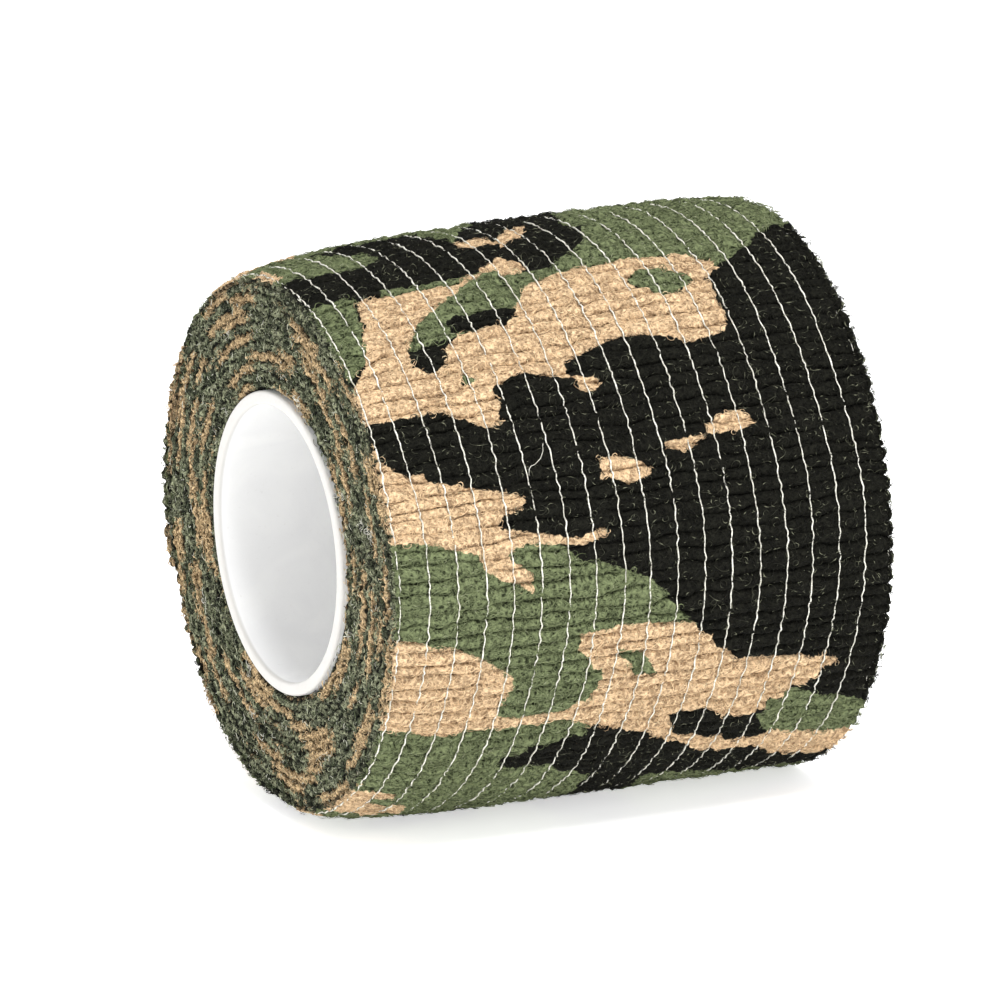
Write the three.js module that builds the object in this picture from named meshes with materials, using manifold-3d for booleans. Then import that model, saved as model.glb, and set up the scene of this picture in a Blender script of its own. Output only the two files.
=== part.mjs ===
// A roll of self-adhering elastic wrap: one long crinkled web with elastic threads let into its face,
// wound in a spiral on a thin plastic tube. The roll lies on its side, with its axis along Y.
// Millimetres, +Z up. The origin is on the floor, under the middle of the roll.

import * as THREE from 'three';
import { mergeVertices } from 'three/addons/utils/BufferGeometryUtils.js';
import Module from 'manifold-3d';

const wasm = await Module();
wasm.setup();

// Driving dimensions
const WEB_WIDTH = 50;
const WEB_THICKNESS = 0.92;
const CORE_LENGTH = 50.4;
const CORE_OUTER_RADIUS = 14.15;
const CORE_WALL = 1.25;
const CORE_EDGE_BEVEL = 0.3;
const CORE_FACETS = 48;
const ROLL_RADIUS = 27.4;
const TURNS = 11;
const PIECE_GAP = 0.3;

const THREAD_COUNT = 19;
const THREAD_PITCH = 2.72;
const THREAD_WIDTH = 0.28;
const THREAD_DEPTH = 0.22;
const GROOVE_WIDTH = 0.6;
const GROOVE_DEPTH = 0.4;
const THREAD_CLEARANCE = 0.08;

const TURN_SLOT_DEPTH = 1;
const TURN_SLOT_STEP = 20;
const TURN_SLOT_STOP = 2;

// Angles run anticlockwise from +X towards +Z, in degrees. The web's free end points down the back.
const STEP = 10;
const TIP_ANGLE = 200;
const FREE_END_ROOT = 160;
const FLOOR_ANGLE = -90;
const FLOOR_HALF_FLAT = STEP;

// Worked out from them
const WEB_START_RADIUS = CORE_OUTER_RADIUS + PIECE_GAP;
const TURN_PITCH = (ROLL_RADIUS - WEB_THICKNESS - WEB_START_RADIUS) / TURNS;
const TURN_SPACE = TURN_PITCH - WEB_THICKNESS;
const FIRST_ANGLE = TIP_ANGLE - 360 * TURNS;
const FACE_START = TIP_ANGLE - 360;
const FREE_END_THICKNESS = TURN_PITCH - PIECE_GAP;
const HALF_WIDTH = WEB_WIDTH / 2;

const radians = THREE.MathUtils.degToRad;

// The web's outer face, at an angle counted on from turn to turn up to the tip.
function faceRadius(angle) {
  return ROLL_RADIUS - TURN_PITCH * (TIP_ANGLE - angle) / 360;
}

// The outermost turn's face, at any angle round the roll.
function outlineRadius(angle) {
  const back = ((TIP_ANGLE - angle) % 360 + 360) % 360;
  return faceRadius(TIP_ANGLE - back);
}

// The soft roll is pressed flat where it stands, so its axis is a little lower than its radius.
const FLAT_EDGES = [FLOOR_ANGLE - FLOOR_HALF_FLAT, FLOOR_ANGLE + FLOOR_HALF_FLAT];
const AXIS_HEIGHT = Math.min(...FLAT_EDGES.map(outlineRadius)) * Math.cos(radians(FLOOR_HALF_FLAT));

// A point of the winding: every turn is squeezed towards the core above the flat.
function windingPoint(radius, angle) {
  const turned = ((angle - FLOOR_ANGLE + 180) % 360 + 360) % 360 - 180;
  let squeezed = radius;
  if (Math.abs(turned) <= FLOOR_HALF_FLAT + 1e-6) {
    const flatRadius = AXIS_HEIGHT / Math.cos(radians(turned));
    const squeeze = (flatRadius - CORE_OUTER_RADIUS) / (outlineRadius(angle) - CORE_OUTER_RADIUS);
    squeezed = CORE_OUTER_RADIUS + (radius - CORE_OUTER_RADIUS) * squeeze;
  }
  return new THREE.Vector2(squeezed * Math.cos(radians(angle)), squeezed * Math.sin(radians(angle)));
}

// The angles of a stretch of the winding: its two ends, and every whole step between them.
function stretchAngles(start, end, step = STEP) {
  const angles = [start];
  for (let angle = Math.floor(start / step + 1) * step; angle < end - 1e-6; angle += step) {
    angles.push(angle);
  }
  angles.push(end);
  return angles;
}

// Extrudes an outline in the XZ plane along Y.
function extrudeAlongY(shape, lowY, highY) {
  const geometry = new THREE.ExtrudeGeometry(shape, { depth: highY - lowY, bevelEnabled: false });
  geometry.rotateX(Math.PI / 2);
  geometry.translate(0, highY, 0);
  return geometry;
}

// A band that follows the spiral from one angle to another, lying between two depths under the face.
function spiralBand(start, end, topDepth, bottomDepth, lowY, highY, step = STEP) {
  const angles = stretchAngles(start, end, step);
  const outside = angles.map((angle) => windingPoint(faceRadius(angle) - topDepth, angle));
  const inside = angles.map((angle) => windingPoint(faceRadius(angle) - bottomDepth, angle));
  return extrudeAlongY(new THREE.Shape([...outside, ...inside.reverse()]), lowY, highY);
}

function toManifold(geometry) {
  const bare = geometry.clone();
  bare.deleteAttribute('normal');
  bare.deleteAttribute('uv');
  const merged = mergeVertices(bare, 1e-4);
  return new wasm.Manifold(new wasm.Mesh({
    numProp: 3,
    vertProperties: new Float32Array(merged.attributes.position.array),
    triVerts: new Uint32Array(merged.index.array),
  }));
}

function toGeometry(solid) {
  const mesh = solid.getMesh();
  const geometry = new THREE.BufferGeometry();
  geometry.setAttribute('position', new THREE.BufferAttribute(mesh.vertProperties, 3));
  geometry.setIndex(new THREE.BufferAttribute(mesh.triVerts, 1));
  geometry.computeVertexNormals();
  return geometry;
}

// The threads stand side by side across the web, evenly spaced.
function threadPosition(index) {
  return (index - (THREAD_COUNT - 1) / 2) * THREAD_PITCH;
}

// The wound turns, stuck together by their coating: the outermost turn's face up to the free end's
// root, then one layer lower, under the free end. The hole is the space round the core.
function windingGeometry() {
  const face = stretchAngles(FACE_START, FREE_END_ROOT);
  const underFreeEnd = stretchAngles(FREE_END_ROOT - 360, FACE_START).slice(0, -1);
  const outline = [...face, ...underFreeEnd].map((angle) => windingPoint(faceRadius(angle), angle));
  const shape = new THREE.Shape(outline);
  const round = stretchAngles(0, 360).slice(0, -1);
  shape.holes.push(new THREE.Path(round.map((angle) => windingPoint(WEB_START_RADIUS, angle))));
  return extrudeAlongY(shape, -HALF_WIDTH, HALF_WIDTH);
}

// Cuts the spiral line between the turns into both end faces.
function cutTurnSlots(webGeometry) {
  const start = FIRST_ANGLE + TURN_SLOT_STEP;
  const end = FREE_END_ROOT - 360 - TURN_SLOT_STOP;
  const floor = HALF_WIDTH - TURN_SLOT_DEPTH;
  const outside = HALF_WIDTH + PIECE_GAP;
  let web = toManifold(webGeometry);
  for (const [lowY, highY] of [[-outside, -floor], [floor, outside]]) {
    web = web.subtract(toManifold(spiralBand(start, end, -TURN_SPACE, 0, lowY, highY, TURN_SLOT_STEP)));
  }
  return toGeometry(web);
}

// Cuts one groove for each thread into the face of a web.
function cutGrooves(webGeometry, start, end) {
  let web = toManifold(webGeometry);
  for (let index = 0; index < THREAD_COUNT; index += 1) {
    const y = threadPosition(index);
    const lowY = y - GROOVE_WIDTH / 2;
    const highY = y + GROOVE_WIDTH / 2;
    web = web.subtract(toManifold(spiralBand(start, end, -PIECE_GAP, GROOVE_DEPTH, lowY, highY)));
  }
  return toGeometry(web);
}

// One elastic thread, lying on its groove's floor with a hair of clearance.
function threadGeometry(index, start, end) {
  const y = threadPosition(index);
  const bottomDepth = GROOVE_DEPTH - THREAD_CLEARANCE;
  const topDepth = bottomDepth - THREAD_DEPTH;
  return spiralBand(start, end, topDepth, bottomDepth, y - THREAD_WIDTH / 2, y + THREAD_WIDTH / 2);
}

// The thin plastic tube that the web is wound on, with its four edges bevelled.
function coreGeometry() {
  const outer = CORE_OUTER_RADIUS;
  const inner = CORE_OUTER_RADIUS - CORE_WALL;
  const end = CORE_LENGTH / 2;
  const bevel = CORE_EDGE_BEVEL;
  const profile = [
    [inner, -end + bevel], [inner + bevel, -end], [outer - bevel, -end], [outer, -end + bevel],
    [outer, end - bevel], [outer - bevel, end], [inner + bevel, end], [inner, end - bevel],
    [inner, -end + bevel],
  ];
  return new THREE.LatheGeometry(profile.map(([r, y]) => new THREE.Vector2(r, y)), CORE_FACETS);
}

function plainMaterial(color, roughness) {
  return new THREE.MeshStandardMaterial({ color, roughness, metalness: 0 });
}

const roll = new THREE.Group();
roll.position.z = AXIS_HEIGHT;

function addPiece(name, geometry, material) {
  const mesh = new THREE.Mesh(geometry, material);
  mesh.name = name;
  roll.add(mesh);
}

// The face's groove stops where the free end leaves the roll, and starts again under its tip.
const gapAngle = THREE.MathUtils.radToDeg(PIECE_GAP / ROLL_RADIUS);
const freeEndStart = FREE_END_ROOT + gapAngle;

addPiece('core_tube', coreGeometry(), plainMaterial(0xf1f0ec, 0.45));

const wound = cutGrooves(cutTurnSlots(windingGeometry()), FACE_START + gapAngle, FREE_END_ROOT + 1);
addPiece('wound_web', wound, plainMaterial(0x6d6f58, 0.95));

const freeBand = spiralBand(freeEndStart, TIP_ANGLE, 0, FREE_END_THICKNESS, -HALF_WIDTH, HALF_WIDTH);
const freeEnd = cutGrooves(freeBand, freeEndStart - 1, TIP_ANGLE + 1);
addPiece('free_end_web', freeEnd, plainMaterial(0x63664f, 0.95));

for (let index = 0; index < THREAD_COUNT; index += 1) {
  const number = String(index + 1).padStart(2, '0');
  const onRoll = threadGeometry(index, FACE_START + 2 * gapAngle, FREE_END_ROOT);
  const onFreeEnd = threadGeometry(index, freeEndStart, TIP_ANGLE);
  addPiece(`elastic_thread_${number}`, onRoll, plainMaterial(0xf0eee4, 0.8));
  addPiece(`free_end_thread_${number}`, onFreeEnd, plainMaterial(0xf0eee4, 0.8));
}

export default roll;
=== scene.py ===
import math

import bpy
import numpy as np
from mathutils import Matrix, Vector


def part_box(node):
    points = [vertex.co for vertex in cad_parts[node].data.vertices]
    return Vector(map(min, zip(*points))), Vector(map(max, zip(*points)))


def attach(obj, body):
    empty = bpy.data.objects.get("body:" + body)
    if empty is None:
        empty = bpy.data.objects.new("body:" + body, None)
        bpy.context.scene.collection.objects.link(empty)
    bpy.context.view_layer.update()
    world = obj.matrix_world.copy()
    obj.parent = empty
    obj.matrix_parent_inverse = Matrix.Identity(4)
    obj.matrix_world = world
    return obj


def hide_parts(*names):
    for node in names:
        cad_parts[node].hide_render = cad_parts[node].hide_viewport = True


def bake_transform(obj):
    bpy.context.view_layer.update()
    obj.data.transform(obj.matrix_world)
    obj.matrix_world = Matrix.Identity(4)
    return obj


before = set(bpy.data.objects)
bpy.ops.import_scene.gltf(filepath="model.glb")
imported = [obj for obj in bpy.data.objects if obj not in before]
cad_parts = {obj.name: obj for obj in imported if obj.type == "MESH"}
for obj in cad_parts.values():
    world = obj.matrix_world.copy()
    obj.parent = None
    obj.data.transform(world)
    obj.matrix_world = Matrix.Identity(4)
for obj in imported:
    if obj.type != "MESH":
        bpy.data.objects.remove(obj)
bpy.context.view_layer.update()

MM = 0.001

# -------- sizes, from the frame
core_low, core_high = (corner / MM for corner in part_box("core_tube"))
web_low, web_high = (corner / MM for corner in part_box("wound_web"))

AXIS_Z = (core_low.z + core_high.z) / 2
CORE_RADIUS = (core_high.x - core_low.x) / 2
CORE_END = (core_high.y - core_low.y) / 2
HALF_WIDTH = (web_high.y - web_low.y) / 2
CORE_WALL = 1.25
CORE_LIP = 0.28
WEB_THICKNESS = 0.9
CAD_WEB_THICKNESS = 0.92
TURNS = 11
TIP_ANGLE = 200
FLOOR_HALF_FLAT = 10
TOP_RADIUS = web_high.z - AXIS_Z
TURN_PITCH = 4 * (TOP_RADIUS - web_high.x)
ROLL_RADIUS = TOP_RADIUS + TURN_PITCH * (TIP_ANGLE - 90) / 360
FIRST_ANGLE = TIP_ANGLE - 360 * TURNS
WEB_START_RADIUS = ROLL_RADIUS - TURN_PITCH * TURNS - CAD_WEB_THICKNESS
UNROLL_RADIUS = 26.93
FLOOR_CLEARANCE = 0.08

# The crinkled face: ribs across the web, and the lanes between its threads.
THREAD_COUNT = 19
THREAD_PITCH = 2.72
YARN_RADIUS = 0.063
RIB_PITCH = 1.43
RIB_PITCH_SPREAD = 0.17
RIB_HEIGHT = 0.62
RIB_PUFF = 0.25
LANE_PINCH = 0.42
CREASE_FILL_SHARE = 0.8

# How far the rims sink towards the core, and how far in from the edge it reaches.
NEAR_DIP = 1.45
NEAR_DIP_EASED = 0.6
FAR_DIP = 0.25
DIP_LEAN = 0.4
DIP_REACH = 5.0
TOP_DIP = 1.7
TOP_REACH = 10.0

# Smooth noises: each one's size, the width of its lumps and its seed.
CREASE_WANDER = ((0.22, 6.0, 1), (0.28, 1.9, 2), (0.12, 0.7, 13))
FACE_LUMPS = ((0.14, 0.8, 8), (0.12, 0.34, 9))
EDGE_LUMPS = ((0.17, 0.55, 23), (0.12, 0.27, 24))

COLUMNS_PER_RIB = 12
ROWS_PER_LANE = 16
WALL_ROWS = 5


# -------- the winding's shape
def face_radius(angle):
    """The web's outer face, at an angle counted on from turn to turn up to the tip."""
    return ROLL_RADIUS - TURN_PITCH * (TIP_ANGLE - angle) / 360


def outline_radius(angle):
    """The outermost turn's face, at any angle round the roll."""
    return face_radius(TIP_ANGLE - np.mod(TIP_ANGLE - angle, 360))


def rim_dip(angle, y):
    """How far the face sinks at the web's two edges: more on top than where the roll stands."""
    upward = np.sin(np.radians(angle))
    top = np.maximum(upward, 0)
    near = NEAR_DIP * (1 - NEAR_DIP_EASED * top) * np.exp(-(y + HALF_WIDTH) / DIP_REACH)
    near = near + TOP_DIP * top * np.exp(-(y + HALF_WIDTH) / TOP_REACH)
    far = (FAR_DIP + DIP_LEAN * upward) * np.exp(-(HALF_WIDTH - y) / DIP_REACH)
    return near + far


def place(radius, angle, y):
    """Points in the frame's metres. Turns are squeezed at the rims, and where the roll stands."""
    radius, angle, y = np.broadcast_arrays(radius, angle, y)
    full = outline_radius(angle) - CORE_RADIUS
    inside = np.clip(y, -HALF_WIDTH, HALF_WIDTH)
    depth = (radius - CORE_RADIUS) * (1 - rim_dip(angle, inside) / full)
    turned = np.mod(angle + 270, 360) - 180
    on_flat = np.abs(turned) <= FLOOR_HALF_FLAT
    flat_radius = AXIS_Z / np.cos(np.radians(np.where(on_flat, turned, 0)))
    depth = np.where(on_flat, depth * (flat_radius - CORE_RADIUS) / full, depth)
    out = CORE_RADIUS + depth
    theta = np.radians(angle)
    height = np.maximum(AXIS_Z + out * np.sin(theta), FLOOR_CLEARANCE)
    return np.stack([out * np.cos(theta), y, height], axis=-1) * MM


def outward(angle):
    """Directions that point straight out of the roll's face."""
    theta = np.radians(angle)
    return np.stack([np.cos(theta), 0 * theta, np.sin(theta)], axis=-1)


def unrolled(angle):
    """Millimetres along the strip's face, counted from the +X side, for the outermost turn."""
    return UNROLL_RADIUS * np.radians(angle)


def rolled(along):
    """The angle round the roll of a place along the flat strip."""
    return np.degrees(along / UNROLL_RADIUS)


# -------- seeded noise
def scramble(column, row, seed):
    """A repeatable random number from -1 to 1 for each whole-number pair."""
    mixed = (column * 374761393 + row * 668265263 + seed * 974634777) & 0xFFFFFFFF
    mixed = ((mixed ^ (mixed >> 13)) * 1274126177) & 0xFFFFFFFF
    mixed = mixed ^ (mixed >> 16)
    return (mixed & 0xFFFF) / 32767.5 - 1


def smooth_noise(x, y, cell, seed):
    """Smooth noise from -1 to 1 with lumps about one cell wide."""
    x, y = np.broadcast_arrays(np.asarray(x, float) / cell, np.asarray(y, float) / cell)
    left, below = np.floor(x).astype(np.int64), np.floor(y).astype(np.int64)
    across, up = x - left, y - below
    across = across * across * (3 - 2 * across)
    up = up * up * (3 - 2 * up)
    low = scramble(left, below, seed) * (1 - across) + scramble(left + 1, below, seed) * across
    high = scramble(left, below + 1, seed) * (1 - across)
    high = high + scramble(left + 1, below + 1, seed) * across
    return low * (1 - up) + high * up


def noises(x, y, parts):
    """Several smooth noises added up."""
    return sum(size * smooth_noise(x, y, cell, seed) for size, cell, seed in parts)


# -------- the woodland print
# Outlines on the flat strip: millimetres along it and across it. The base is black, green lies on
# it, tan on green, and a few black and green spots on tan. The print repeats along the strip.
PRINT_REPEAT = 82
PRINT_MARGIN = 60
PRINT_REACH = 2.0
GREEN_PATCHES = [
    [(-34, -26), (-12.5, -26), (-13, -4.5), (-14.6, -4), (-16, -4.3), (-16.1, -5.8), (-17.3, -7.5),
     (-17.3, -9.6), (-18.4, -10.6), (-18.4, -12), (-19.9, -12.1), (-21, -6.3), (-22.4, -4.9),
     (-23.2, -2.8), (-24.8, -1), (-28.5, -1.2), (-34, -2.5)],
    [(-13, -26), (7, -26), (6.5, -21), (5, -17), (5.5, -10), (4.4, -7.8), (3.1, -7), (2.8, -5),
     (0.5, 0.2), (-4.7, 5), (-6, 4), (-8, 0), (-13, -4)],
    [(25.8, -19.5), (34.8, -18), (34.5, -8), (35, -6.5), (33.9, -3.2), (33.8, -1), (35, -0.5),
     (35.7, 1.5), (37.8, 3.9), (41, 5.2), (43.5, 7.5), (50, 12), (50, 26), (36.8, 26), (36.8, 23.3),
     (36, 21.5), (35.2, 20.2), (33.8, 19.3), (31.2, 14.8), (32, -2), (30, -5), (27.5, -7)],
    [(23.4, -26), (24.6, -24), (26, -22.8), (34.3, -20.6), (35, -21.3), (35.1, -26)],
    [(41.2, -26), (41.8, -24), (40.4, -21), (39.9, -17.5), (40.3, -16), (41.5, -15.2), (43, -15.6),
     (46.5, -19), (50, -20), (50, -26)],
    [(42, -7.2), (50, -2), (50, -8), (46, -8.5)],
    [(-20.3, 15.5), (-17.3, 13.7), (-15, 14.2), (-15, 15.6), (-13.4, 16.2), (-15.5, 20), (-16, 23),
     (-17.5, 26), (-22, 26), (-21.8, 22)],
    [(-26.3, 5.6), (-31.5, 19), (-33, 24), (-40, 26), (-40, 4), (-32, 6.5), (-29, 5.4)],
]
TAN_PATCHES = [
    [(-31, -26), (-23.4, -26), (-23.5, -23), (-24.2, -20.6), (-24.9, -20.7), (-25, -22.8),
     (-26.8, -22.6), (-27.2, -18.3), (-29, -18.4), (-31, -20)],
    [(-13.2, -26), (-13.3, -22.6), (-14.1, -20.8), (-14.2, -19), (-13.8, -16.8), (-13.8, -6.6),
     (-17.3, 2.2), (-19.2, 4.8), (-20, 6.8), (-21.3, 8.2), (-22.5, 11.5), (-22.7, 15), (-25.3, 17.6),
     (-26.5, 20.6), (-27, 22), (-26, 26), (-21.6, 26), (-21.5, 20.5), (-20.2, 16.7), (-20.6, 14),
     (-20.3, 11.6), (-18, 5.2), (-15.4, 4.1), (-14.9, 4.3), (-14.9, 7.8), (-16.3, 9.6), (-16.6, 12.3),
     (-15.7, 14), (-14.8, 14.3), (-14.8, 15.7), (-13.4, 16.2), (-13.3, 17.8), (-11.4, 19.4),
     (-11.1, 20.6), (-10.5, 20.3), (-10.1, 19), (-8.9, 9.5), (-7.8, 8.3), (-7.5, 7.1), (-6, 6.5),
     (-5.8, 5.6), (-4.4, 4.7), (-3.6, -2), (-4.1, -6.6), (-5.9, -6.9), (-6.5, -5.9), (-7.9, -5.4),
     (-8.1, -4.3), (-9.7, -4), (-11.5, -4.7), (-11.8, -6.3), (-12.6, -6.9), (-12.8, -9), (-12.5, -14),
     (-10.3, -13.8), (-9.7, -13.1), (-7.9, -13.2), (-5.2, -16.8), (-4, -19.3), (-3.8, -21.3),
     (-2.9, -23.5), (-2.9, -26)],
    [(6.7, -26), (6.6, -22.5), (4.8, -16.9), (3.2, -16.2), (2.1, -15), (1.7, -13.3), (0.6, -11.9),
     (1.7, -11.6), (2.7, -12), (4.2, -14), (4.9, -13.4), (5.3, -12), (4.5, -6.5), (5, -4.2),
     (5.6, -3.8), (5.9, -4.3), (5.2, -6.7), (6.9, -14.3), (7.6, -14.6), (8.2, -13.9), (8.5, -12.3),
     (9.2, -11.6), (9.8, -12), (12, -20.4), (13, -21), (13.1, -22.4), (14.6, -24.3), (16, -24.9),
     (16.8, -26)],
    [(18.9, -26), (18.7, -18), (16.4, -13.9), (16.6, -12.6), (17.1, -12.2), (17.6, -12.6),
     (18.2, -12.2), (20.4, -12.4), (21.3, -10.2), (21.5, -8.9), (20.2, -4.6), (21.9, -5), (24, 1.6),
     (24, 3.4), (22.4, 8.5), (23.1, 12), (24.2, 12.7), (25.5, 12.8), (26.4, 12.3), (28.4, 13),
     (29.8, 12.6), (30.7, 14.4), (31.6, 14.3), (32.6, 13.7), (33.2, 12), (33.8, 8), (33.4, 1),
     (32.4, -3), (31.9, -4.6), (27.6, -8.3), (26.5, -14.2), (25.2, -15.5), (24.6, -15.3), (23.8, -16),
     (23.1, -17), (23, -18.2), (24.3, -18.9), (26, -18.7), (27.7, -17.8), (29.6, -15.9), (34.8, -7.3),
     (34, -5.5), (34.1, -4), (34.7, -3.4), (35.8, -3.6), (37, -4.8), (33.8, -10.5), (33.4, -14.5),
     (34.2, -20.2), (33.8, -20.9), (32.7, -20.8), (25.1, -23.2), (23.4, -24.6), (22.8, -26)],
    [(10.3, -4), (10.4, -3.2), (9.5, -1.2), (10.2, 1.1), (10.8, 1.2), (12.3, -2), (12, -4)],
    [(18.8, -3.9), (18.6, -2.8), (19.5, -1.7), (20, -2.3), (20.5, -5), (20, -4)],
    [(12.2, 3.2), (11.8, 4.8), (13.2, 7.6), (13.1, 11), (13.7, 12.6), (15, 10.9), (15, 9.3), (14, 7.4),
     (13.2, 7.3), (12.9, 3.1)],
    [(39.4, -4.2), (40.3, -7.5), (41.8, -7.4), (42.3, -6.3), (41.8, -4.6), (40.8, -4)],
    [(39, -4), (40.7, -3.9), (44.5, 0.2), (43.8, 1), (41, -0.8)],
    [(43, -25), (45, -25.4), (48, -25), (48, -24), (43, -24.1)],
]
BLACK_SPOTS = [
    [(23, -18.2), (24.3, -19), (26.2, -18.7), (25.4, -16.8), (25.6, -15.7), (24.9, -15.3), (24, -15.8),
     (23.2, -16.8)],
    [(27.2, -14.2), (28.6, -14), (29.1, -13), (29.3, -9), (28.7, -6.9), (27.8, -7.5), (27.3, -8.6),
     (26.9, -12)],
]
GREEN_SPOTS = [
    [(-6.2, -2.9), (-7, -2.8), (-7.8, -1.6), (-9.6, -0.6), (-9.2, 0.3), (-9.7, 0.9), (-9.4, 1.6),
     (-6.7, -0.5)],
    [(21.2, -15.3), (22.5, -14.8), (21.3, -13.6)],
    [(30, 4.9), (31, 5.1), (32, 7.2), (31.4, 9.8), (29.5, 11.8), (28.2, 9), (28.2, 7.8)],
]


def outline_field(points, along, across):
    """How deep each place lies inside one outline: positive inside, negative outside."""
    points = np.array(points, float)
    low, high = points.min(axis=0) - PRINT_REACH, points.max(axis=0) + PRINT_REACH
    near = (along > low[0]) & (along < high[0]) & (across > low[1]) & (across < high[1])
    field = np.full(along.shape, -PRINT_REACH)
    x, y = along[near], across[near]
    nearest = np.full(x.shape, PRINT_REACH ** 2)
    inside = np.zeros(x.shape, bool)
    for (x0, y0), (x1, y1) in zip(points, np.roll(points, -1, axis=0)):
        dx, dy = x1 - x0, y1 - y0
        part = np.clip(((x - x0) * dx + (y - y0) * dy) / (dx * dx + dy * dy), 0, 1)
        nearest = np.minimum(nearest, (x - x0 - part * dx) ** 2 + (y - y0 - part * dy) ** 2)
        if dy:
            crosses = (y0 > y) != (y1 > y)
            inside ^= crosses & (x < x0 + (y - y0) * dx / dy)
    field[near] = np.where(inside, 1, -1) * np.sqrt(nearest)
    return field


def layer_field(outlines, along, across):
    """The union of several outlines and their repeats that reach the asked places."""
    field = np.full(along.shape, -PRINT_REACH)
    first = math.floor((along.min() - PRINT_MARGIN) / PRINT_REPEAT)
    last = math.ceil((along.max() + PRINT_MARGIN) / PRINT_REPEAT)
    for outline in outlines:
        for repeat in range(first, last + 1):
            shifted = along - repeat * PRINT_REPEAT
            field = np.maximum(field, outline_field(outline, shifted, across))
    return field


def print_fields(along, across):
    """The tan and the green field at places on the strip. Where both are negative it is black."""
    shape = along.shape
    along, across = along.ravel(), np.broadcast_to(across, shape).ravel()
    layers = (GREEN_PATCHES, TAN_PATCHES, BLACK_SPOTS, GREEN_SPOTS)
    green, tan, black, spots = (layer_field(layer, along, across) for layer in layers)
    tan = np.minimum(tan, -np.maximum(black, spots))
    green = np.minimum(np.maximum(green, spots), -black)
    return tan.reshape(shape), green.reshape(shape)


# -------- ribs and thread rows
rng = np.random.default_rng(50)
SECTOR_ANGLES = [-210, -150, -90, -30, 30, 90, 140, TIP_ANGLE]


def make_creases():
    """Where the creases between ribs lie along the strip, and which of them part the sectors."""
    creases = [unrolled(SECTOR_ANGLES[0])]
    sector_starts = [0]
    for start, end in zip(SECTOR_ANGLES, SECTOR_ANGLES[1:]):
        length = unrolled(end) - unrolled(start)
        count = round(length / RIB_PITCH)
        steps = 1 + RIB_PITCH_SPREAD * np.clip(rng.standard_normal(count), -1.6, 1.6)
        creases.extend(creases[-1] + np.cumsum(steps / steps.sum() * length))
        sector_starts.append(len(creases) - 1)
    return np.array(creases), sector_starts


CREASES, SECTOR_STARTS = make_creases()


def crease_shift(crease, y):
    """How far a crease wanders along the strip at this place across it."""
    return noises(y, crease * 9.0, CREASE_WANDER)


ROW_DRIFT, DRIFT_PLACE, DRIFT_REACH = 0.85, 2, 13
NEAR_ROW_SHIFT, ROW_SPREAD = -0.95, 0.6
ROW_MARGIN = 0.3
EDGE_MARGIN, EDGE_WANDER = 0.05, 0.10


def thread_row(index, along):
    """Where a thread lies across the strip. The rows drift together by about a millimetre."""
    share = index / (THREAD_COUNT - 1)
    evenly = (index - (THREAD_COUNT - 1) / 2) * THREAD_PITCH
    drift = ROW_DRIFT * np.exp(-(((along - DRIFT_PLACE) / DRIFT_REACH) ** 2))
    drift = drift + NEAR_ROW_SHIFT + ROW_SPREAD * share
    wander = 0.12 * smooth_noise(along, index * 11.0, 9, 3)
    wander = wander + 0.05 * smooth_noise(along, index * 7.0, 0.8, 4)
    limit = HALF_WIDTH - ROW_MARGIN
    return np.clip(evenly + drift + wander, -limit, limit)


def lane_edge(edge, along):
    """The boundaries of the lanes: the web's near edge, the threads in turn, the far edge."""
    if edge == 0:
        return -HALF_WIDTH + EDGE_MARGIN + EDGE_WANDER * smooth_noise(along, 0, 0.7, 5)
    if edge == THREAD_COUNT + 1:
        return HALF_WIDTH - EDGE_MARGIN + EDGE_WANDER * smooth_noise(along, 0, 0.7, 6)
    return thread_row(edge - 1, along)


def ridge(rib_share):
    """A rib's rounded profile, from 0 at its two creases to 1 along its middle."""
    return (1 - np.abs(2 * rib_share - 1) ** 2.2) ** 0.7


def crease_fill(crease, y):
    """How much of a crease's depth is filled: some creases fade out between two lanes."""
    return np.clip(0.18 + 0.60 * smooth_noise(y, crease * 9.0, 2.2, 12), 0, 0.62)


def blended_fill(ribs, shares, across):
    """The fill of a rib's two creases, blended from one to the other."""
    return crease_fill(ribs, across) * (1 - shares) + crease_fill(ribs + 1, across) * shares


def pillow(rib_share, lane_share):
    """A cell's height, from 0 at the creases to 1 at its middle, pinched where the threads lie."""
    return ridge(rib_share) * (1 - LANE_PINCH * np.abs(2 * lane_share - 1) ** 3)


def even_cosine(count):
    """Shares from 0 up to just under 1, closer together at both ends."""
    return (1 - np.cos(np.pi * np.arange(count) / count)) / 2


def face_at(along, across):
    """The face's height above the bottom of its creases, at any places on the strip."""
    last = len(CREASES) - 2
    ribs = np.clip(np.searchsorted(CREASES, along, side="right") - 1, 0, last)
    ribs = ribs - ((along < CREASES[ribs] + crease_shift(ribs, across)) & (ribs > 0))
    ribs = ribs + ((along > CREASES[ribs + 1] + crease_shift(ribs + 1, across)) & (ribs < last))
    start = CREASES[ribs] + crease_shift(ribs, across)
    end = CREASES[ribs + 1] + crease_shift(ribs + 1, across)
    shares = np.clip((along - start) / (end - start), 0, 1)
    edges = np.stack([lane_edge(edge, along) for edge in range(THREAD_COUNT + 2)])
    lanes = np.clip((edges < across).sum(axis=0) - 1, 0, THREAD_COUNT)
    low = np.take_along_axis(edges, lanes[None], axis=0)[0]
    high = np.take_along_axis(edges, lanes[None] + 1, axis=0)[0]
    lane_shares = np.clip((across - low) / (high - low), 0, 1)
    return face_height(ribs, shares, lane_shares, along, across)


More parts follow.
